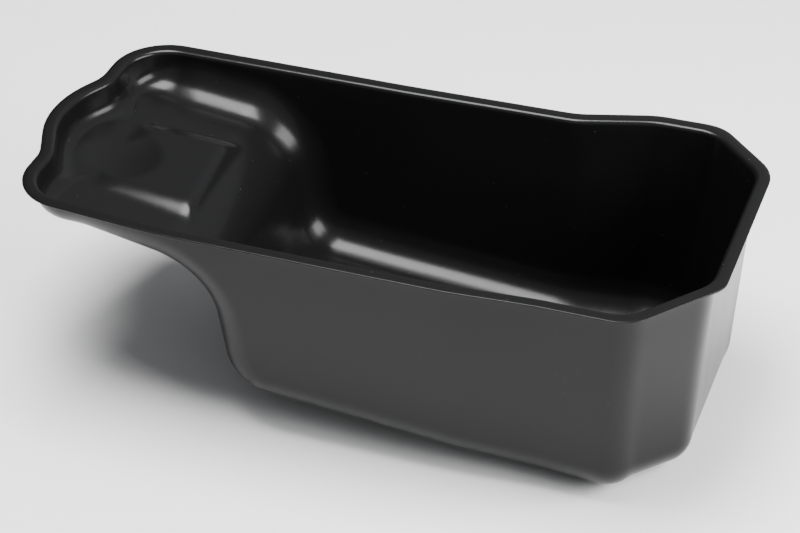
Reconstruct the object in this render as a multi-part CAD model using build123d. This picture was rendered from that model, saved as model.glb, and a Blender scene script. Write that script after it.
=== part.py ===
from build123d import *
import math
import os

# Engine oil sump: one deep-drawn sheet with a shallow shelf and a deep well, and its drain plug.
# Millimetres. The flange's top face is Z = 0, +X runs from the shallow end to the deep end, and
# Y = 0 is the middle of the flange's width. The outline is written from the flange's end; the
# exported parts are moved so that X = 0 is the middle of the flange's flat at the shallow end.

# ---------------------------------------------------------------- driving dimensions
origin_x = 3.2
sheet = 1.5
flange_inset = 10.5
bend_radius = 3.5
wall_overrun = 6.0
wall_depth = 185.0
side_draft = 2.0
end_draft = 3.5

# Flange outline, corner by corner: x, y, edge radius, wall radius, draft of the wall that follows.
# A negative radius is a corner that bulges inwards.
outline = [
    (16.5, -119.6, 42.0, 32.0, side_draft),
    (140.0, -131.4, 500.0, 500.0, side_draft),
    (343.0, -131.6, 300.0, 300.0, side_draft),
    (405.0, -127.2, -300.0, -300.0, side_draft),
    (471.0, -127.2, 30.0, 28.0, end_draft),
    (520.0, -65.8, 20.0, 28.0, end_draft),
    (520.0, 83.4, 35.0, 28.0, end_draft),
    (472.6, 131.8, 28.0, 28.0, side_draft),
    (423.0, 131.8, 60.0, 60.0, side_draft),
    (367.0, 114.6, -60.0, -60.0, side_draft),
    (240.0, 112.0, -800.0, -800.0, side_draft),
    (14.5, 112.2, 42.0, 32.0, side_draft),
    (14.5, 48.0, -30.0, -40.0, side_draft),
    (-8.6, -0.5, 88.0, 77.0, side_draft),
    (16.5, -62.5, -30.0, -40.0, side_draft),
]

# Lengthwise section of the inside: shelf, rounded crest, steep step, rounded foot, sloping floor.
shelf_at_zero = -20.9
shelf_fall = -0.1187
crest_x = 154.0
crest_radius = 50.0
foot_x = 168.9
foot_z = -137.9
foot_radius = 37.0
floor_fall = -0.0916
step_slant = -4.0
floor_fillet = 26.0

# Pressings on the shelf: a raised platform and a shallow round dish.
platform_at_zero = -22.0
platform_fall = -0.062
platform_x = (46.0, 124.0)
platform_y = (-46.0, 33.0)
platform_tilt_x = (40.0, 48.0)
platform_tilt_y = (28.0, 30.0)
platform_corner = 10.0
platform_blend = 5.0
platform_root = 6.0
dish_centre = (48.0, -12.0)
dish_ball_radius = 166.0
dish_depth = 0.3
dish_column = (60.0, -12.0, 32.0)

# Drain: a boss welded into the floor, a low plug with a hexagon socket, and a sealing washer.
drain_x = 415.0
drain_y = 2.0
boss_radius = 18.0
boss_height = 12.0
boss_bevel = 1.0
boss_hole_radius = 15.5
boss_spigot_radius = 15.45
boss_proud = 1.0
thread_radius = 11.0
thread_clearance = 0.05
plug_shank_length = 14.0
plug_lead = 1.0
plug_collar_radius = 15.0
plug_collar_height = 4.5
plug_bevel = 0.8
plug_socket_across = 12.0
plug_socket_depth = 9.0
washer_radius = 13.5
washer_hole_radius = 11.15
washer_thickness = 1.5
edge_break = 0.5

reach = 500.0


# ---------------------------------------------------------------- plan outline
def line_crossing(p, u, q, v):
    """Point where the line through p along u meets the line through q along v."""
    cross = u[0] * v[1] - u[1] * v[0]
    t = ((q[0] - p[0]) * v[1] - (q[1] - p[1]) * v[0]) / cross
    return (p[0] + u[0] * t, p[1] + u[1] * t)


def direction(p, q):
    length = math.hypot(q[0] - p[0], q[1] - p[1])
    return ((q[0] - p[0]) / length, (q[1] - p[1]) / length)


def inset_corners(insets):
    """Corners of the outline with each side moved inwards by its own inset."""
    points = [corner[:2] for corner in outline]
    sides = []
    for start, end, inset in zip(points, points[1:] + points[:1], insets):
        u = direction(start, end)
        sides.append(((start[0] - u[1] * inset, start[1] + u[0] * inset), u))
    return [line_crossing(*sides[i - 1], *sides[i]) for i in range(len(sides))]


def rounded_wire(points, radii, z):
    """Closed wire of straight sides and tangent arcs."""
    arcs = []
    for i, (point, radius) in enumerate(zip(points, radii)):
        back = direction(point, points[i - 1])
        ahead = direction(point, points[(i + 1) % len(points)])
        half = math.acos(back[0] * ahead[0] + back[1] * ahead[1]) / 2
        trim = radius / math.tan(half)
        inwards = radius / math.sin(half) - radius
        bisector = direction((0, 0), (back[0] + ahead[0], back[1] + ahead[1]))
        arcs.append(
            [
                Vector(point[0] + u[0] * length, point[1] + u[1] * length, z)
                for u, length in ((back, trim), (bisector, inwards), (ahead, trim))
            ]
        )
    edges = []
    for arc, following in zip(arcs, arcs[1:] + arcs[:1]):
        edges.append(Edge.make_three_point_arc(*arc))
        edges.append(Edge.make_line(arc[2], following[0]))
    return Wire(edges)


def flange_wire():
    insets = [0.0] * len(outline)
    return rounded_wire(inset_corners(insets), [abs(corner[2]) for corner in outline], 0.0)


def wall_wire(depth, grow):
    """Outline of the drafted wall at a depth; grow is 0 on the inside and the sheet on the outside."""
    insets = [flange_inset - grow + depth * math.tan(math.radians(c[4])) for c in outline]
    return rounded_wire(inset_corners(insets), [abs(c[3] + grow) for c in outline], -depth)


# ---------------------------------------------------------------- lengthwise section
def slant_x(x, y):
    """Position along the section, which is turned a little in plan about the crest."""
    slant = math.radians(step_slant)
    return crest_x + (x - crest_x) * math.cos(slant) - y * math.sin(slant)


def shelf_z(x, y=0.0):
    return shelf_at_zero + shelf_fall * slant_x(x, y)


def floor_z(x, y=0.0):
    return foot_z + floor_fall * (slant_x(x, y) - foot_x)


def platform_z(x):
    return platform_at_zero + platform_fall * x


def section_prism(grow):
    """Everything above the shelf, step and floor."""
    line = [
        (-reach, shelf_at_zero - shelf_fall * reach),
        (crest_x, shelf_at_zero + shelf_fall * crest_x),
        (foot_x, foot_z),
        (2 * reach, foot_z + floor_fall * (2 * reach - foot_x)),
    ]
    sides = []
    for start, end in zip(line, line[1:]):
        u = direction(start, end)
        sides.append(((start[0] + u[1] * grow, start[1] - u[0] * grow), u))
    crest = line_crossing(*sides[0], *sides[1])
    foot = line_crossing(*sides[1], *sides[2])
    left = line_crossing(*sides[0], (-reach, 0.0), (0.0, 1.0))
    right = line_crossing(*sides[2], (2 * reach, 0.0), (0.0, 1.0))
    corners = [left, crest, foot, right, (2 * reach, reach), (-reach, reach)]
    face = Face(Wire.make_polygon([Vector(x, -reach, z) for x, z in corners], close=True))
    for (x, z), radius in ((crest, crest_radius - grow), (foot, foot_radius + grow)):
        corner = min(face.vertices(), key=lambda v: math.hypot(v.X - x, v.Z - z))
        face = face.fillet_2d(radius, [corner])
    prism = Solid.extrude(face, Vector(0, 2 * reach, 0))
    return prism.rotate(Axis((crest_x, 0, 0), (0, 0, 1)), -step_slant)


# ---------------------------------------------------------------- pressings on the shelf
def half_space(point, normal):
    return Plane(origin=point, z_dir=normal).location * Box(
        reach, reach, reach, align=(Align.CENTER, Align.CENTER, Align.MAX)
    )


def shelf_down():
    slant = math.radians(step_slant)
    return Vector(shelf_fall * math.cos(slant), -shelf_fall * math.sin(slant), -1)


def platform_block(grow):
    """Space under the platform's plane, bounded by four sides that lean inwards."""
    middle_x = sum(platform_x) / 2
    faces = [(Vector(middle_x, 0, platform_z(middle_x)), Vector(-platform_fall, 0, 1))]
    for x, sign, tilt in zip(platform_x, (-1, 1), map(math.radians, platform_tilt_x)):
        point = Vector(x, 0, platform_z(x))
        faces.append((point, Vector(sign * math.sin(tilt), 0, math.cos(tilt))))
    for y, sign, tilt in zip(platform_y, (-1, 1), map(math.radians, platform_tilt_y)):
        point = Vector(middle_x, y, platform_z(middle_x))
        faces.append((point, Vector(0, sign * math.sin(tilt), math.cos(tilt))))
    block = None
    for point, normal in faces:
        cut = half_space(point - normal.normalized() * grow, normal)
        block = cut if block is None else block & cut
    return block.solids()[0]


def platform(grow):
    """The raised platform, as the solid that it takes out of the form."""
    block = platform_block(grow)

    def on_top(edge):
        return abs(edge.center().Z - platform_z(edge.center().X) + grow) < 0.3

    def slanting(edge):
        run = edge.tangent_at(0.5)
        return abs(run.X) > 0.1 and abs(run.Y) > 0.1

    block = block.fillet(platform_corner - grow, [e for e in block.edges() if slanting(e)])
    block = block.fillet(platform_blend - grow, [e for e in block.edges() if on_top(e)])
    middle_x = sum(platform_x) / 2
    root = Vector(middle_x, 0, shelf_z(middle_x) - platform_root - grow)
    return (block & half_space(root, shelf_down())).solids()[0]


def dish(grow):
    """The shallow round dish, as the solid that it adds to the form; it cuts the platform's end."""
    x, y = dish_centre
    up = Vector(-shelf_down().X, -shelf_down().Y, 1).normalized()
    centre = Vector(x, y, shelf_z(x, y)) + up * (dish_ball_radius - dish_depth)
    ball = Pos(*centre) * Sphere(dish_ball_radius + grow)
    column_x, column_y, column_radius = dish_column
    column = Pos(column_x, column_y, shelf_z(column_x)) * Cylinder(column_radius, 24.0)
    return (ball & column).solids()[0]


# ---------------------------------------------------------------- the pressed form
def form(grow):
    """The solid inside the sheet's inner face (grow = 0) or outer face (grow = sheet)."""
    wires = [wall_wire(-wall_overrun, grow), wall_wire(wall_depth, grow)]
    body = (Solid.make_loft(wires, ruled=True) & section_prism(grow)).solids()[0]

    def is_bottom(face):
        return face.bounding_box().max.Z < wall_overrun / 2

    def is_wall(face):
        return not is_bottom(face) and abs(face.normal_at(face.center()).Z) < 0.5

    bottom_edges = [e for f in body.faces() if is_bottom(f) for e in f.edges()]
    wall_edges = [e for f in body.faces() if is_wall(f) for e in f.edges()]
    seam = [e for e in bottom_edges if any(e.is_same(other) for other in wall_edges)]
    body = body.fillet(floor_fillet + grow, seam)

    body = (body - platform(grow)).solids()[0]
    return (body + dish(grow)).solids()[0]


# ---------------------------------------------------------------- drain
drain_face_z = floor_z(drain_x, drain_y) - sheet * math.hypot(1, floor_fall)
drain_out = Vector(
    floor_fall * math.cos(math.radians(step_slant)),
    -floor_fall * math.sin(math.radians(step_slant)),
    -1,
).normalized()
drain_plane = Plane(
    origin=(drain_x, drain_y, drain_face_z), x_dir=(0, 1, 0), z_dir=drain_out
)


def drain_cylinder(radius, low, high):
    """A cylinder on the drain's axis; heights are outwards from the sheet's outer face."""
    height = high - low
    return drain_plane.location * Pos(0, 0, low) * Cylinder(
        radius, height, align=(Align.CENTER, Align.CENTER, Align.MIN)
    )


def bevelled(solid, radius, end, size):
    """Breaks the circular edge of that radius at the inner (0) or outer (-1) end of the drain's axis."""
    rings = [e for e in solid.edges().filter_by(GeomType.CIRCLE) if abs(e.radius - radius) < 0.01]
    rings.sort(key=lambda e: (e.center() - drain_plane.origin).dot(drain_out))
    return solid.chamfer(size, None, [rings[end]])


# ---------------------------------------------------------------- pieces
def make_pan_shell():
    outside = form(sheet) & Pos(0, 0, -reach / 2) * Box(3 * reach, reach, reach)
    flange = Solid.extrude(Face(flange_wire()), Vector(0, 0, -sheet))
    shell = (outside + flange - form(0.0)).solids()[0]
    rim = flange_wire()

    def bend_loop(z):
        """The edges where the wall meets the flange's face at z."""
        level = [e for e in shell.edges() if abs(e.bounding_box().min.Z - z) < 0.001]
        level = [e for e in level if abs(e.bounding_box().max.Z - z) < 0.001]
        inner = [e for e in level if rim.distance_to(e.center()) > flange_inset / 2]
        return inner

    inner_loop, outer_loop = bend_loop(0.0), bend_loop(-sheet)
    shell = shell.fillet(bend_radius, inner_loop)
    shell = shell.fillet(bend_radius - sheet, outer_loop)
    return shell - drain_cylinder(boss_hole_radius, -3 * sheet, sheet)


def make_drain_boss():
    body = drain_cylinder(boss_radius, -sheet - boss_height, -sheet)
    body = bevelled(body, boss_radius, 0, boss_bevel)
    body += drain_cylinder(boss_spigot_radius, -sheet, boss_proud)
    body = body - drain_cylinder(thread_radius, -2 * boss_height, boss_height)
    body = bevelled(body, thread_radius, 0, edge_break)
    return bevelled(body, thread_radius, -1, edge_break)


def make_plug_washer():
    top = boss_proud + washer_thickness
    ring = drain_cylinder(washer_radius, boss_proud, top)
    return ring - drain_cylinder(washer_hole_radius, boss_proud, top)


def make_drain_plug():
    seat = boss_proud + washer_thickness
    top = seat + plug_collar_height
    shank_radius = thread_radius - thread_clearance
    shank = bevelled(
        drain_cylinder(shank_radius, seat - plug_shank_length, seat), shank_radius, 0, plug_lead
    )
    collar = bevelled(
        drain_cylinder(plug_collar_radius, seat, top), plug_collar_radius, -1, plug_bevel
    )
    hexagon = RegularPolygon(plug_socket_across / 2, 6, major_radius=False)
    socket = drain_plane.location * Pos(0, 0, top - plug_socket_depth) * extrude(
        hexagon, amount=2 * plug_socket_depth
    )
    return shank + collar - socket


parts = {
    "pan_shell": make_pan_shell(),
    "drain_boss": make_drain_boss(),
    "plug_washer": make_plug_washer(),
    "drain_plug": make_drain_plug(),
}

os.makedirs("parts", exist_ok=True)
for name, solid in parts.items():
    moved = Pos(-origin_x, 0, 0) * solid.solids()[0]
    export_step(moved, f"parts/{name}.step")
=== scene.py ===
import math

import bpy
import numpy as np
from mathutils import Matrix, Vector


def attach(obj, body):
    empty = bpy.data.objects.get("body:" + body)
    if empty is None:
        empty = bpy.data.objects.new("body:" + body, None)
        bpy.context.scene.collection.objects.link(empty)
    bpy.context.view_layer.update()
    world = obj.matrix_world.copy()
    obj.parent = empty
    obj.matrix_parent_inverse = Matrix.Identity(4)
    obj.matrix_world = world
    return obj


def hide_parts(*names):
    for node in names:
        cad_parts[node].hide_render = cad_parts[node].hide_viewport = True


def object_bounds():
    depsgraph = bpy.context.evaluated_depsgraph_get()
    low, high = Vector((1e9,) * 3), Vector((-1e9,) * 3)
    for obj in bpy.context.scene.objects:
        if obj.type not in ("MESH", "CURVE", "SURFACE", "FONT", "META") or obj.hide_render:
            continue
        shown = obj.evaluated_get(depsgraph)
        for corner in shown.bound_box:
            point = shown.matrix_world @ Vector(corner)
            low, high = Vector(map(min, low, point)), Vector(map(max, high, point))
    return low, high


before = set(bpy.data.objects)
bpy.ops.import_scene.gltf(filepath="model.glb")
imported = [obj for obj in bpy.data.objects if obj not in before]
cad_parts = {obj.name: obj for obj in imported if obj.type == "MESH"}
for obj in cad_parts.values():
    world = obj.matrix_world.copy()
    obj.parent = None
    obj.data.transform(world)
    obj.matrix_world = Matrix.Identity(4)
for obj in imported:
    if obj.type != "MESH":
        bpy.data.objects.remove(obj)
cad_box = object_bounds()

MM = 0.001

# ------------------------------------------------------------------ the pressing, in millimetres
# X runs from the flange's shallow end; the model's origin is ORIGIN_X further in. The dimensions are
# the CAD part's, but for the tighter fillet at the shallow end and the pressings on the shelf.
ORIGIN_X = 3.2
SHEET = 1.5
FLANGE = 10.5
BEND = 3.5
SIDE, END = 2.0, 3.5
OUTLINE = [
    (16.5, -119.6, 42.0, 32.0, SIDE),
    (140.0, -131.4, 500.0, 500.0, SIDE),
    (343.0, -131.6, 300.0, 300.0, SIDE),
    (405.0, -127.2, -300.0, -300.0, SIDE),
    (471.0, -127.2, 30.0, 28.0, END),
    (520.0, -65.8, 20.0, 28.0, END),
    (520.0, 83.4, 35.0, 28.0, END),
    (472.6, 131.8, 28.0, 28.0, SIDE),
    (423.0, 131.8, 60.0, 60.0, SIDE),
    (367.0, 114.6, -60.0, -60.0, SIDE),
    (240.0, 112.0, -800.0, -800.0, SIDE),
    (14.5, 112.2, 42.0, 32.0, SIDE),
    (14.5, 48.0, -30.0, -40.0, SIDE),
    (-8.6, -0.5, 88.0, 77.0, SIDE),
    (16.5, -62.5, -30.0, -40.0, SIDE),
]
SHELF_AT_ZERO, SHELF_FALL = -20.9, -0.1187
CREST_X, CREST_R = 154.0, 50.0
FOOT_X, FOOT_Z, FOOT_R = 168.9, -137.9, 37.0
FLOOR_FALL = -0.0916
SLANT = math.radians(-4.0)
FILLET, END_FILLET = 26.0, 9.0
FILLET_GROWS = (16.0, 60.0)  # from this X, over this length
MID_STEP = -90.0
SPINE = (66.0, 432.0)

PLATFORM_AT_ZERO, PLATFORM_FALL = -21.0, -0.070
PLATFORM_X, PLATFORM_Y = (60.0, 124.0), (-46.0, 33.0)
PLATFORM_TILT_X, PLATFORM_TILT_Y = (20.0, 48.0), (24.0, 30.0)
DISH, DISH_BALL, DISH_DEPTH = (46.0, -12.0), 150.0, 1.2
# How softly the platform's sides, top edges, root and the dish's rim run into one another.
BLEND_Y, BLEND_X, BLEND_CORNER, BLEND_TOP, BLEND_ROOT, BLEND_DISH = 8.0, 3.0, 5.0, 2.6, 3.0, 0.7

DRAIN = (415.0, 2.0)
BOSS_SPIGOT_R = 15.5


def unit(v):
    v = np.asarray(v, float)
    return v / np.linalg.norm(v, axis=-1, keepdims=True)


def along(x, y):
    """Position along the lengthwise section, which is turned a little in plan about the crest."""
    return CREST_X + (x - CREST_X) * math.cos(SLANT) - y * math.sin(SLANT)


# ------------------------------------------------------------------ plan outline
def rounded_outline(inset, which):
    """Per corner: start, end, centre and radius of the arc, for the outline moved in by inset."""
    pts = np.array([c[:2] for c in OUTLINE])
    nxt = np.roll(pts, -1, 0)
    u = unit(nxt - pts)
    inward = np.stack([-u[:, 1], u[:, 0]], 1)
    moved = pts + inward * inset
    corners = []
    for i in range(len(pts)):
        p, a, q, b = moved[i - 1], u[i - 1], moved[i], u[i]
        cross = a[0] * b[1] - a[1] * b[0]
        t = ((q[0] - p[0]) * b[1] - (q[1] - p[1]) * b[0]) / cross
        corners.append(p + a * t)
    corners = np.array(corners)
    arcs = []
    for i in range(len(pts)):
        radius = abs(OUTLINE[i][which])
        back = unit(corners[i - 1] - corners[i])
        ahead = unit(corners[(i + 1) % len(pts)] - corners[i])
        half = math.acos(float(back @ ahead)) / 2
        trim = radius / math.tan(half)
        centre = corners[i] + unit(back + ahead) * radius / math.sin(half)
        arcs.append((corners[i] + back * trim, corners[i] + ahead * trim, centre, radius))
    return arcs


def arc_points(arc, t):
    """Points and outward directions of travel around an arc, for t in 0..1."""
    start, end, centre, radius = arc
    a0 = math.atan2(*(start - centre)[::-1])
    a1 = math.atan2(*(end - centre)[::-1])
    turn = (a1 - a0 + math.pi) % (2 * math.pi) - math.pi
    angle = a0 + turn * t
    ring = np.stack([np.cos(angle), np.sin(angle)], 1)
    normal = -ring * np.sign(turn)
    return centre + ring * radius, normal


def dense_outline(steps=60):
    """The flange's edge, the wall's top line, its inward normal and its draft, all around the part."""
    edge = rounded_outline(0.0, 2)
    wall = rounded_outline(FLANGE, 3)
    rows = []
    for i in range(len(OUTLINE)):
        t = np.linspace(0, 1, steps, endpoint=False)
        lean = [math.tan(math.radians(OUTLINE[i - 1][4])), math.tan(math.radians(OUTLINE[i][4]))]
        e, _ = arc_points(edge[i], t)
        w, n = arc_points(wall[i], t)
        rows.append(np.column_stack([e, w, n, lean[0] + (lean[1] - lean[0]) * t]))
        j = (i + 1) % len(OUTLINE)
        s = t[:, None]
        e = edge[i][1] * (1 - s) + edge[j][0] * s
        w = wall[i][1] * (1 - s) + wall[j][0] * s
        _, n = arc_points(wall[i], np.array([1.0]))
        rows.append(np.column_stack([e, w, np.repeat(n, steps, 0), np.full(steps, lean[1])]))
    return np.concatenate(rows)


# ------------------------------------------------------------------ the bottom: shelf, step and floor
def smooth(t):
    t = np.clip(t, 0, 1)
    return t * t * (3 - 2 * t)


def section_setup():
    """Inward normals of shelf, step and floor, two points on them, and the two arcs' centres."""
    step = unit([FOOT_X - CREST_X, FOOT_Z - (SHELF_AT_ZERO + SHELF_FALL * CREST_X)])
    n_shelf = unit([-SHELF_FALL, 1.0])
    n_step = np.array([-step[1], step[0]])
    n_floor = unit([-FLOOR_FALL, 1.0])
    corner = np.array([CREST_X, SHELF_AT_ZERO + SHELF_FALL * CREST_X])
    foot = np.array([FOOT_X, FOOT_Z])

    def offset_point(base, na, nb, ra, rb):
        return base + np.linalg.solve(np.array([na, nb]), np.array([ra, rb]))

    crest_centre = offset_point(corner, n_shelf, n_step, -CREST_R, -CREST_R)
    foot_centre = offset_point(foot, n_step, n_floor, FOOT_R, FOOT_R)
    return n_shelf, n_step, n_floor, corner, foot, crest_centre, foot_centre


N_SHELF, N_STEP, N_FLOOR, CORNER, FOOT, CREST_C, FOOT_C = section_setup()


def sector(v, a, b):
    """Coefficients of v in the frame of the directions a and b."""
    det = a[0] * b[1] - a[1] * b[0]
    return (v[0] * b[1] - v[1] * b[0]) / det, (a[0] * v[1] - a[1] * v[0]) / det


def bottom_distance(x, y, z):
    """Height-like distance above the pressed bottom, without the local pressings."""
    s = along(x, y)
    d_shelf = (s - CORNER[0]) * N_SHELF[0] + (z - CORNER[1]) * N_SHELF[1]
    d_step = (s - CORNER[0]) * N_STEP[0] + (z - CORNER[1]) * N_STEP[1]
    d_floor = (s - FOOT[0]) * N_FLOOR[0] + (z - FOOT[1]) * N_FLOOR[1]
    v = (s - CREST_C[0], z - CREST_C[1])
    a, b = sector(v, N_SHELF, N_STEP)
    crest = np.where(b <= 0, d_shelf, np.where(a <= 0, d_step, np.hypot(*v) - CREST_R))
    crest = np.where((a <= 0) & (b <= 0), np.maximum(d_shelf, d_step), crest)
    v = (s - FOOT_C[0], z - FOOT_C[1])
    a, b = sector(v, -N_STEP, -N_FLOOR)
    foot = np.where((a > 0) & (b > 0), FOOT_R - np.hypot(*v), np.minimum(d_step, d_floor))
    return np.where(z > MID_STEP, crest, foot)


def soft_min(a, b, k):
    h = np.clip(0.5 + 0.5 * (b - a) / k, 0, 1)
    return b * (1 - h) + a * h - k * h * (1 - h)


def soft_max(a, b, k):
    return -soft_min(-a, -b, k)


def lift(x, y):
    """Height of the pressings above the plain shelf: a platform, cut at its end by a round dish."""
    s = along(x, y)
    shelf = SHELF_AT_ZERO + SHELF_FALL * s
    top = PLATFORM_AT_ZERO + PLATFORM_FALL * x - shelf
    left = top - (PLATFORM_X[0] - x) * math.tan(math.radians(PLATFORM_TILT_X[0]))
    right = top - (s - PLATFORM_X[1]) * math.tan(math.radians(PLATFORM_TILT_X[1]))
    near = top - (PLATFORM_Y[0] - y) * math.tan(math.radians(PLATFORM_TILT_Y[0]))
    far = top - (y - PLATFORM_Y[1]) * math.tan(math.radians(PLATFORM_TILT_Y[1]))
    sides = soft_min(soft_min(near, far, BLEND_Y), soft_min(left, right, BLEND_X), BLEND_CORNER)
    raised = soft_min(top, sides, BLEND_TOP)
    dish = (np.hypot(x - DISH[0], y - DISH[1]) ** 2) / (2 * DISH_BALL) - DISH_DEPTH
    raised = soft_max(raised, np.zeros_like(x), BLEND_ROOT)
    return soft_min(raised, dish, BLEND_DISH)


def fillet_at(x):
    """Radius of the rolled fillet: tighter around the shallow end."""
    return END_FILLET + (FILLET - END_FILLET) * smooth((x - FILLET_GROWS[0]) / FILLET_GROWS[1])


def inside(x, y, z, wall):
    """Positive inside the pan: the wall and the bottom, joined by a rolled fillet."""
    bottom = bottom_distance(x, y, z - lift(x, y))
    radius = fillet_at(x)
    return radius - np.hypot(np.maximum(radius - wall, 0), np.maximum(radius - bottom, 0))


# ------------------------------------------------------------------ slices
SIDE_Y, SIDE_OVERLAP = 60.0, 40.0  # the side walls lie beyond this Y, and past the spine by this much
BEND_RINGS, WALL_RINGS, FILLET_RINGS, BOTTOM_RINGS = 6, 8, 24, 80
LOWEST, HIGHEST = -150.0, -5.0  # limits for the level where a slice's fillet begins
WALL_REACH, FILLET_REACH, BOTTOM_REACH, BOTTOM_BACK = 60.0, 150.0, 140.0, 12.0


def pick_slices():
    """Outline rows where the slices stand, and the point on the spine that each one runs to."""
    dense = dense_outline()
    s = along(dense[:, 2], dense[:, 3])
    count = len(dense)
    right = int(np.argmax(s))
    left = int(np.argmin(np.where(np.abs(dense[:, 3]) < 20, s, 1e9)))
    near = [(left + k) % count for k in range((right - left) % count)]
    far = [(right + k) % count for k in range((left - right) % count)]

    shelf_part = np.arange(SPINE[0], 140.0, 1.6)
    step_part = np.concatenate([np.arange(140.0, 156.0, 0.9), np.arange(156.0, 180.0, 0.55),
                                np.arange(180.0, 206.0, 1.2)])
    deep_part = np.linspace(206.0, SPINE[1], 60)
    stations = np.concatenate([shelf_part, step_part, deep_part])

    def at_stations(order, values):
        rows = dense[order]
        sv = s[order]
        beside = (sv > SPINE[0] - SIDE_OVERLAP) & (sv < SPINE[1] + SIDE_OVERLAP)
        keep = beside & (np.abs(rows[:, 3]) > SIDE_Y)
        rows, sv = rows[keep], sv[keep]
        sort = np.argsort(sv)
        rows, sv = rows[sort], sv[sort]
        return np.column_stack([np.interp(values, sv, rows[:, k]) for k in range(rows.shape[1])])

    def fan(order, low):
        rows = dense[order]
        sv = s[order]
        rows = rows[sv < SPINE[0] - 0.8] if low else rows[sv > SPINE[1] + 2.0]
        return rows

    near_side = at_stations(near, stations)
    far_side = at_stations(far, stations[::-1])
    right_rows = np.concatenate([fan(near, False), fan(far, False)])
    left_rows = np.concatenate([fan(far, True), fan(near, True)])

    def thin(rows, spacing):
        """Even spacing along the wall's top line."""
        step = np.hypot(*np.diff(rows[:, 2:4], axis=0).T)
        run = np.concatenate([[0], np.cumsum(step)])
        places = np.linspace(0, run[-1], max(2, int(run[-1] / spacing)))
        return np.column_stack([np.interp(places, run, rows[:, k]) for k in range(rows.shape[1])])

    right_rows, left_rows = thin(right_rows, 4.0), thin(left_rows, 2.2)

    def spine_x(stations_):
        """Plan X on the spine, Y = 0, for each station of the section."""
        return CREST_X + (stations_ - CREST_X) / math.cos(SLANT)

    ends = spine_x(np.array(SPINE))
    rows = np.concatenate([near_side, right_rows, far_side, left_rows])
    target = np.concatenate([spine_x(stations), np.full(len(right_rows), ends[1]),
                             spine_x(stations[::-1]), np.full(len(left_rows), ends[0])])
    spine_id = np.concatenate([np.arange(len(stations)), np.full(len(right_rows), len(stations) - 1),
                               np.arange(len(stations))[::-1], np.zeros(len(left_rows), int)])
    rows[:, 4:6] = unit(rows[:, 4:6])
    return rows, target, spine_id, len(stations)


def bisect(origin, direction, low, high, wall_of, steps=34):
    """Distance along each ray, from inside the pan, to its inner face."""
    lo = np.broadcast_to(low, origin.shape[:-1]).astype(float).copy()
    hi = np.broadcast_to(high, origin.shape[:-1]).astype(float).copy()
    for _ in range(steps):
        mid = (lo + hi) / 2
        p = origin + direction * mid[..., None]
        good = inside(p[..., 0], p[..., 1], p[..., 2], wall_of(p)) > 0
        lo, hi = np.where(good, mid, lo), np.where(good, hi, mid)
    return (lo + hi) / 2


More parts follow.
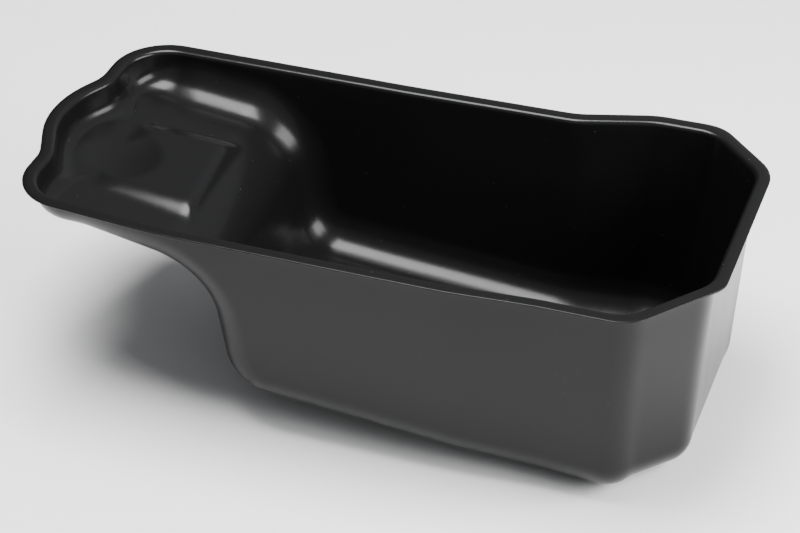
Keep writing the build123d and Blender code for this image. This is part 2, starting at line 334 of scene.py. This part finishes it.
def shell_surface():
    """Rings of the sheet's inner face, from the flange's edge to the spine, one column for each slice."""
    rows, target, spine_id, spine_count = pick_slices()
    edge, top, normal, lean = rows[:, 0:2], rows[:, 2:4], rows[:, 4:6], rows[:, 6]
    to = np.column_stack([target, np.zeros_like(target)])
    reach = np.linalg.norm(to - top, axis=1)
    q = (to - top) / reach[:, None]
    facing = np.sum(q * normal, 1)
    cos_lean = 1 / np.hypot(1, lean)

    def wall_of(p):
        """Distance inside the wall of each slice."""
        shape = (len(top),) + (1,) * (p.ndim - 2)
        level = np.sum((p[..., :2] - top.reshape(shape + (2,))) * normal.reshape(shape + (2,)), -1)
        return (level + p[..., 2] * lean.reshape(shape)) * cos_lean.reshape(shape)

    def point(a, z):
        a, z = np.broadcast_arrays(a, z)
        extra = (1,) * (a.ndim - 1)
        xy = top.reshape((-1,) + extra + (2,)) + q.reshape((-1,) + extra + (2,)) * a[..., None]
        return np.concatenate([xy, z[..., None]], -1)

    # ray origins: where a ball of the fillet's radius touches both the wall and the bottom
    radius = fillet_at(top[:, 0])
    z_ball = np.full(len(top), -20.0)
    for _ in range(60):
        a_ball = (radius / cos_lean - z_ball * lean) / facing
        p = point(a_ball, z_ball)
        f = bottom_distance(p[:, 0], p[:, 1], p[:, 2])
        z_ball -= np.clip(f - radius, -8, 8) * 0.6
    z_ball = np.clip(z_ball, LOWEST, HIGHEST)
    a_ball = (radius / cos_lean - z_ball * lean) / facing

    angle = np.arcsin(lean * cos_lean)
    rings = []

    # flange, from its edge to the bend
    centre_a = -BEND * (1 - np.sin(angle)) / np.cos(angle)
    flat_end = top + normal * centre_a[:, None]
    inwards = unit(flat_end - edge)
    for inset, drop in ((0.0, 0.5), (0.15, 0.15), (0.5, 0.0)):
        rings.append(np.column_stack([edge + inwards * inset, np.full(len(top), -drop)]))
    for t in (0.5, 1.0):
        xy = edge * (1 - t) + flat_end * t
        rings.append(np.column_stack([xy, np.zeros(len(top))]))
    flange_rings = len(rings)
    for t in np.linspace(0, 1, BEND_RINGS + 1)[1:]:
        phi = t * (math.pi / 2 - angle)
        xy = flat_end + normal * (BEND * np.sin(phi))[:, None]
        rings.append(np.column_stack([xy, -BEND + BEND * np.cos(phi)]))
    bend_end_z = rings[-1][:, 2]

    # wall: level rays towards it
    heights = np.linspace(0, 1, WALL_RINGS + 1)[1:]
    z = bend_end_z[:, None] * (1 - heights) + z_ball[:, None] * heights
    start = point(np.broadcast_to(a_ball[:, None], z.shape), z)
    out = np.concatenate([-q, np.zeros((len(q), 1))], 1)[:, None, :]
    dist = bisect(start, np.broadcast_to(out, start.shape), 0.0, WALL_REACH, wall_of)
    wall = start + out * dist[..., None]
    # fillet: a fan of rays from the ball's centre
    turn = np.linspace(0, math.pi / 2, FILLET_RINGS + 1)[1:]
    fan = np.stack([
        -q[:, None, 0] * np.cos(turn), -q[:, None, 1] * np.cos(turn),
        -np.broadcast_to(np.sin(turn), (len(q), len(turn))),
    ], -1)
    start = np.broadcast_to(point(a_ball, z_ball)[:, None, :], fan.shape)
    dist = bisect(start, fan, 0.0, FILLET_REACH, wall_of)
    corner = start + fan * dist[..., None]
    # bottom: plumb rays from the ball's level
    share = np.linspace(0, 1, BOTTOM_RINGS + 1)[1:]
    a = a_ball[:, None] * (1 - share) + reach[:, None] * share
    start = point(a, np.broadcast_to(z_ball[:, None], a.shape))
    down = np.zeros_like(start)
    down[..., 2] = -1.0
    dist = bisect(start, down, -BOTTOM_BACK, BOTTOM_REACH, wall_of)
    floor = start + down * dist[..., None]

    inner = np.concatenate([np.stack(rings, 1), wall, corner, floor], 1)

    # outward offset, from the slope of the inside function
    def slope(p):
        h = 0.05
        grad = []
        for k in range(3):
            d = np.zeros(3)
            d[k] = h
            plus, minus = p + d, p - d
            grad.append(
                inside(plus[..., 0], plus[..., 1], plus[..., 2], wall_of(plus))
                - inside(minus[..., 0], minus[..., 1], minus[..., 2], wall_of(minus))
            )
        return unit(np.stack(grad, -1))

    first = len(rings)
    outer = inner.copy()
    outer[:, first:] = inner[:, first:] - slope(inner[:, first:]) * SHEET
    outer[:, :flange_rings, 2] = -SHEET - inner[:, :flange_rings, 2]
    for k in range(flange_rings, first):
        t = (k - flange_rings + 1) / (first - flange_rings)
        phi = t * (math.pi / 2 - angle)
        r = BEND - SHEET
        xy = flat_end + normal * (r * np.sin(phi))[:, None]
        outer[:, k] = np.column_stack([xy, -BEND + r * np.cos(phi)])
    return inner, outer, spine_id, spine_count


def shell_mesh():
    inner, outer, spine_id, spine_count = shell_surface()
    slices, rings = inner.shape[:2]

    verts, faces = [], []

    def side(points):
        """Vertices of one face of the sheet; the last ring is shared along the spine."""
        base = len(verts)
        body = points[:, :-1]
        verts.extend(map(tuple, body.reshape(-1, 3)))
        spine_base = len(verts)
        spine = np.zeros((spine_count, 3))
        hits = np.zeros(spine_count)
        np.add.at(spine, spine_id, points[:, -1])
        np.add.at(hits, spine_id, 1)
        verts.extend(map(tuple, spine / hits[:, None]))

        def index(i, k):
            i %= slices
            if k == rings - 1:
                return spine_base + int(spine_id[i])
            return base + i * (rings - 1) + k

        return index

    top, under = side(inner), side(outer)
    for i in range(slices):
        for k in range(rings - 1):
            quad = [top(i, k), top(i + 1, k), top(i + 1, k + 1), top(i, k + 1)]
            faces.append(list(dict.fromkeys(quad)))
            quad = [under(i, k), under(i, k + 1), under(i + 1, k + 1), under(i + 1, k)]
            faces.append(list(dict.fromkeys(quad)))
        faces.append([top(i + 1, 0), top(i, 0), under(i, 0), under(i + 1, 0)])
    verts = (np.array(verts) - np.array([ORIGIN_X, 0, 0])) * MM
    verts = np.clip(verts, np.array(cad_box[0]), np.array(cad_box[1]))
    mesh = bpy.data.meshes.new("pan_skin")
    mesh.from_pydata([tuple(v) for v in verts], [], faces)
    mesh.validate()
    mesh.update()
    return mesh


# ------------------------------------------------------------------ materials
class Nodes:
    def __init__(self, name):
        self.material = bpy.data.materials.new(name)
        self.material.use_nodes = True
        self.tree = self.material.node_tree
        self.bsdf = self.tree.nodes["Principled BSDF"]

    def add(self, kind, **values):
        node = self.tree.nodes.new(kind)
        for key, value in values.items():
            node.inputs[key].default_value = value
        return node

    def link(self, source, target):
        self.tree.links.new(source, target)


def satin_black():
    """Satin dip coat on pressed sheet: orange peel, faint drawing marks and a few specks of dust."""
    m = Nodes("satin_black_coat")
    coords = m.add("ShaderNodeTexCoord")
    where = coords.outputs["Object"]
    b = m.bsdf
    b.inputs["Specular IOR Level"].default_value = 0.2

    dust = m.add("ShaderNodeTexVoronoi", Scale=90.0)
    m.link(where, dust.inputs["Vector"])
    specks = m.add("ShaderNodeValToRGB")
    specks.color_ramp.elements[0].position = 0.022
    specks.color_ramp.elements[0].color = (0.05, 0.05, 0.048, 1)
    specks.color_ramp.elements[1].position = 0.04
    specks.color_ramp.elements[1].color = (0.0045, 0.0045, 0.0047, 1)
    m.link(dust.outputs["Distance"], specks.inputs["Fac"])
    m.link(specks.outputs["Color"], b.inputs["Base Color"])

    stretch = m.add("ShaderNodeMapping", Scale=(110.0, 110.0, 14.0))
    m.link(where, stretch.inputs["Vector"])
    drawn = m.add("ShaderNodeTexNoise", Scale=1.0, Detail=4.0, Roughness=0.6)
    m.link(stretch.outputs["Vector"], drawn.inputs["Vector"])
    sheen = m.add("ShaderNodeMapRange")
    sheen.inputs["To Min"].default_value = 0.2
    sheen.inputs["To Max"].default_value = 0.28
    m.link(drawn.outputs["Fac"], sheen.inputs["Value"])
    m.link(sheen.outputs["Result"], b.inputs["Roughness"])

    peel = m.add("ShaderNodeTexNoise", Scale=850.0, Detail=2.0)
    m.link(where, peel.inputs["Vector"])
    bump = m.add("ShaderNodeBump", Strength=0.12, Distance=0.0001)
    m.link(peel.outputs["Fac"], bump.inputs["Height"])
    waves = m.add("ShaderNodeBump", Strength=0.1, Distance=0.0002)
    m.link(drawn.outputs["Fac"], waves.inputs["Height"])
    m.link(bump.outputs["Normal"], waves.inputs["Normal"])
    m.link(waves.outputs["Normal"], b.inputs["Normal"])
    return m.material


def metal(name, light, dark, scale, rough):
    """Bare or plated metal: slow blotches in colour and sheen, and fine scratches as a bump."""
    m = Nodes(name)
    where = m.add("ShaderNodeTexCoord").outputs["Object"]
    b = m.bsdf
    b.inputs["Metallic"].default_value = 1.0
    blotch = m.add("ShaderNodeTexNoise", Scale=scale, Detail=5.0)
    m.link(where, blotch.inputs["Vector"])
    tint = m.add("ShaderNodeValToRGB")
    tint.color_ramp.elements[0].position = 0.35
    tint.color_ramp.elements[0].color = (*dark, 1)
    tint.color_ramp.elements[1].position = 0.65
    tint.color_ramp.elements[1].color = (*light, 1)
    m.link(blotch.outputs["Fac"], tint.inputs["Fac"])
    m.link(tint.outputs["Color"], b.inputs["Base Color"])
    sheen = m.add("ShaderNodeMapRange")
    sheen.inputs["To Min"].default_value = rough[0]
    sheen.inputs["To Max"].default_value = rough[1]
    m.link(blotch.outputs["Fac"], sheen.inputs["Value"])
    m.link(sheen.outputs["Result"], b.inputs["Roughness"])
    grain = m.add("ShaderNodeTexNoise", Scale=2600.0, Detail=2.0)
    m.link(where, grain.inputs["Vector"])
    bump = m.add("ShaderNodeBump", Strength=0.15, Distance=0.00003)
    m.link(grain.outputs["Fac"], bump.inputs["Height"])
    m.link(bump.outputs["Normal"], b.inputs["Normal"])
    return m.material


def pale_floor():
    m = Nodes("pale_floor")
    where = m.add("ShaderNodeTexCoord").outputs["Object"]
    m.bsdf.inputs["Roughness"].default_value = 0.9
    grain = m.add("ShaderNodeTexNoise", Scale=30.0, Detail=3.0)
    m.link(where, grain.inputs["Vector"])
    tint = m.add("ShaderNodeValToRGB")
    tint.color_ramp.elements[0].color = (0.77, 0.77, 0.77, 1)
    tint.color_ramp.elements[1].color = (0.79, 0.79, 0.79, 1)
    m.link(grain.outputs["Fac"], tint.inputs["Fac"])
    m.link(tint.outputs["Color"], m.bsdf.inputs["Base Color"])
    return m.material


black = satin_black()
zinc = metal("zinc_plate", (0.56, 0.55, 0.50), (0.42, 0.41, 0.36), 160.0, (0.26, 0.42))
copper = metal("annealed_copper", (0.66, 0.31, 0.19), (0.48, 0.20, 0.12), 220.0, (0.28, 0.5))


# ------------------------------------------------------------------ pieces
def placed(name, mesh, body, material, replaced=None, sharp=32.0):
    """Adds a mesh to the scene as a piece that moves with one body."""
    obj = bpy.data.objects.new(name, mesh)
    bpy.context.collection.objects.link(obj)
    for poly in mesh.polygons:
        poly.use_smooth = True
    mesh.set_sharp_from_angle(angle=math.radians(sharp))
    mesh.materials.append(material)
    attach(obj, body)
    if replaced:
        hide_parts(replaced)
    return obj


def drain_frame():
    """Point on the drain's axis at the sheet's outer face, the outward direction and two across it."""
    x, y = DRAIN
    floor = FOOT_Z + FLOOR_FALL * (along(x, y) - FOOT_X)
    out = unit([FLOOR_FALL * math.cos(SLANT), -FLOOR_FALL * math.sin(SLANT), -1.0])
    across = unit(np.array([0.0, 1.0, 0.0]) - out * out[1])
    origin = np.array([x - ORIGIN_X, y, floor - SHEET * math.hypot(1, FLOOR_FALL)])
    return origin, out, across, np.cross(out, across)


TURN = np.linspace(0, 2 * math.pi, 96, endpoint=False)


def lathe(name, rings, loop=False):
    """Mesh round the drain's axis from (radius, height) rings, with its ends closed or joined."""
    origin, out, across, side = drain_frame()
    verts, faces = [], []
    n = len(TURN)
    for radius, height in rings:
        r = np.broadcast_to(radius, TURN.shape)
        spread = np.outer(r * np.cos(TURN), across) + np.outer(r * np.sin(TURN), side)
        ring = origin + out * height + spread
        verts.extend(map(tuple, ring * MM))
    pairs = [(k, k + 1) for k in range(len(rings) - 1)]
    if loop:
        pairs.append((len(rings) - 1, 0))
    for a, b in pairs:
        for i in range(n):
            j = (i + 1) % n
            faces.append([a * n + i, a * n + j, b * n + j, b * n + i])
    if not loop:
        faces.append(list(range(n))[::-1])
        faces.append([(len(rings) - 1) * n + i for i in range(n)])
    mesh = bpy.data.meshes.new(name)
    mesh.from_pydata(verts, [], faces)
    mesh.validate()
    mesh.update()
    return mesh


BOSS_R, BOSS_PROUD = 18.0, 1.0
WASHER_R, WASHER_HOLE, WASHER_T = 13.5, 11.15, 1.5
THREAD_R, THREAD_ROOT, PITCH = 10.95, 10.03, 1.5
SEAT = BOSS_PROUD + WASHER_T
PLUG_TOP, PLUG_TIP = SEAT + 4.5, SEAT - 14.0


def plug_rings():
    """Shank with a real thread, undercut, collar and hexagon socket, from the tip to the socket's floor."""
    rings = [(7.6, PLUG_TIP), (9.2, PLUG_TIP), (9.9, PLUG_TIP + 0.7)]
    for height in np.arange(PLUG_TIP + 0.8, SEAT - 2.2, PITCH / 12):
        phase = (height / PITCH - TURN / (2 * math.pi)) % 1.0
        tooth = np.clip(2.6 * np.abs(phase - 0.5) - 0.2, 0, 1)
        ends = smooth((height - PLUG_TIP - 0.6) / 1.6) * smooth((SEAT - 2.0 - height) / 1.2)
        rings.append((THREAD_ROOT + (THREAD_R - THREAD_ROOT) * tooth * ends, height))
    rings += [(9.9, SEAT - 2.0), (9.9, SEAT - 0.3), (10.2, SEAT), (14.5, SEAT), (14.9, SEAT + 0.15),
              (15.0, SEAT + 0.5), (15.0, PLUG_TOP - 0.9), (14.85, PLUG_TOP - 0.55), (14.2, PLUG_TOP - 0.1),
              (13.8, PLUG_TOP), (10.0, PLUG_TOP), (7.4, PLUG_TOP), (7.15, PLUG_TOP - 0.12)]
    hexagon = 6.0 / np.cos(TURN % (math.pi / 3) - math.pi / 6)
    rings += [(hexagon, PLUG_TOP - 0.45), (hexagon, PLUG_TOP - 4.0), (hexagon, PLUG_TOP - 8.6),
              (hexagon * 0.93, PLUG_TOP - 8.9), (hexagon * 0.05, PLUG_TOP - 9.0)]
    return rings


def washer_rings():
    """A flat ring with its four edges rounded by e, and c on the middle of each rounding."""
    e, c = 0.3, 0.09
    return [(WASHER_HOLE + e, BOSS_PROUD), (WASHER_R - e, BOSS_PROUD),
            (WASHER_R - c, BOSS_PROUD + c), (WASHER_R, BOSS_PROUD + e), (WASHER_R, SEAT - e),
            (WASHER_R - c, SEAT - c), (WASHER_R - e, SEAT), (WASHER_HOLE + e, SEAT),
            (WASHER_HOLE + c, SEAT - c), (WASHER_HOLE, SEAT - e), (WASHER_HOLE, BOSS_PROUD + e),
            (WASHER_HOLE + c, BOSS_PROUD + c)]


def weld_rings():
    """A rippled bead where the boss meets the sheet's inner face."""
    ripple = 0.22 * np.abs(np.sin(TURN * 24)) + 0.12 * np.sin(TURN * 5)
    low = -SHEET + 0.05
    return [(BOSS_R - 0.1, low), (BOSS_R - 0.1, low - 3.4), (BOSS_R + 0.7 + ripple, low - 3.3),
            (BOSS_R + 1.9 + ripple, low - 2.6), (BOSS_R + 2.8 + ripple, low - 1.4),
            (BOSS_R + 3.2 + ripple, low - 0.3), (BOSS_R + 3.2 + ripple, low)]


def with_drain_hole(obj):
    """Cuts the drain's hole through the sheet."""
    cutter_mesh = lathe("cutter", [(BOSS_SPIGOT_R, -8.0), (BOSS_SPIGOT_R, 8.0)])
    cutter = bpy.data.objects.new("cutter", cutter_mesh)
    bpy.context.collection.objects.link(cutter)
    cut = obj.modifiers.new("drain", "BOOLEAN")
    cut.operation = "DIFFERENCE"
    cut.solver = "EXACT"
    cut.object = cutter
    graph = bpy.context.evaluated_depsgraph_get()
    mesh = bpy.data.meshes.new_from_object(obj.evaluated_get(graph))
    obj.modifiers.clear()
    bpy.data.objects.remove(cutter)
    return mesh


blank = bpy.data.objects.new("blank", shell_mesh())
bpy.context.collection.objects.link(blank)
pan_mesh = with_drain_hole(blank)
bpy.data.objects.remove(blank)
pan_mesh.materials.clear()
placed("pan_skin", pan_mesh, "pan", black, "pan_shell", 60.0)
placed("boss_weld", lathe("boss_weld", weld_rings(), loop=True), "pan", black)
placed("sealing_washer", lathe("sealing_washer", washer_rings(), loop=True), "washer", copper,
       "plug_washer")
placed("threaded_plug", lathe("threaded_plug", plug_rings()), "plug", zinc, "drain_plug")

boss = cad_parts["drain_boss"]
boss.data.materials.clear()
boss.data.materials.append(black)

# ------------------------------------------------------------------ floor, light and camera
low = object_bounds()[0]
floor_z = low[2]
floor_mesh = bpy.data.meshes.new("floor")
HALF = 6.0
floor_mesh.from_pydata(
    [(-HALF, -HALF, floor_z), (HALF, -HALF, floor_z), (HALF, HALF, floor_z), (-HALF, HALF, floor_z)],
    [], [(0, 1, 2, 3)],
)
floor = bpy.data.objects.new("floor", floor_mesh)
bpy.context.collection.objects.link(floor)
floor_mesh.materials.append(pale_floor())

world = bpy.data.worlds.new("studio")
bpy.context.scene.world = world
world.use_nodes = True
sky, backdrop = world.node_tree, world.node_tree.nodes["Background"]
direction = sky.nodes.new("ShaderNodeTexCoord")
split = sky.nodes.new("ShaderNodeSeparateXYZ")
sky.links.new(direction.outputs["Generated"], split.inputs["Vector"])
fade = sky.nodes.new("ShaderNodeValToRGB")
fade.color_ramp.elements[0].position = 0.0
fade.color_ramp.elements[0].color = (0.03, 0.03, 0.032, 1)
fade.color_ramp.elements[1].position = 1.0
fade.color_ramp.elements[1].color = (0.4, 0.405, 0.415, 1)
span = sky.nodes.new("ShaderNodeMapRange")
span.inputs["From Min"].default_value = -0.5
span.inputs["From Max"].default_value = -0.1
sky.links.new(split.outputs["X"], span.inputs["Value"])
sky.links.new(span.outputs["Result"], fade.inputs["Fac"])
sky.links.new(fade.outputs["Color"], backdrop.inputs["Color"])
backdrop.inputs["Strength"].default_value = 1.2


def area(name, place, aim, size_x, size_y, power):
    data = bpy.data.lights.new(name, "AREA")
    data.shape = "RECTANGLE"
    data.size, data.size_y, data.energy = size_x, size_y, power
    lamp = bpy.data.objects.new(name, data)
    bpy.context.collection.objects.link(lamp)
    lamp.location = place
    lamp.rotation_euler = (Vector(aim) - Vector(place)).to_track_quat("-Z", "Y").to_euler()
    return lamp


area("overhead", (0.05, -0.05, 1.7), (0.2, -0.1, 0.0), 1.15, 0.9, 92.0)
area("right", (1.9, -0.15, 0.95), (0.2, 0.0, -0.05), 1.7, 1.0, 90.0)

CAMERA = Vector((753.8, -1410.7, 961.5)) * MM
AZIMUTH, ELEVATION = math.radians(19.1), math.radians(35.0)
FOCAL_LENGTH, IMAGE_WIDTH, SENSOR = 2500.0, 800.0, 36.0
look = Vector((
    -math.sin(AZIMUTH) * math.cos(ELEVATION),
    math.cos(AZIMUTH) * math.cos(ELEVATION),
    -math.sin(ELEVATION),
))
camera_data = bpy.data.cameras.new("camera")
camera_data.sensor_fit = "HORIZONTAL"
camera_data.sensor_width = SENSOR
camera_data.lens = FOCAL_LENGTH / IMAGE_WIDTH * SENSOR
camera_data.clip_start = 0.05
camera = bpy.data.objects.new("camera", camera_data)
bpy.context.collection.objects.link(camera)
camera.location = CAMERA
camera.rotation_euler = look.to_track_quat("-Z", "Y").to_euler()
bpy.context.scene.camera = camera
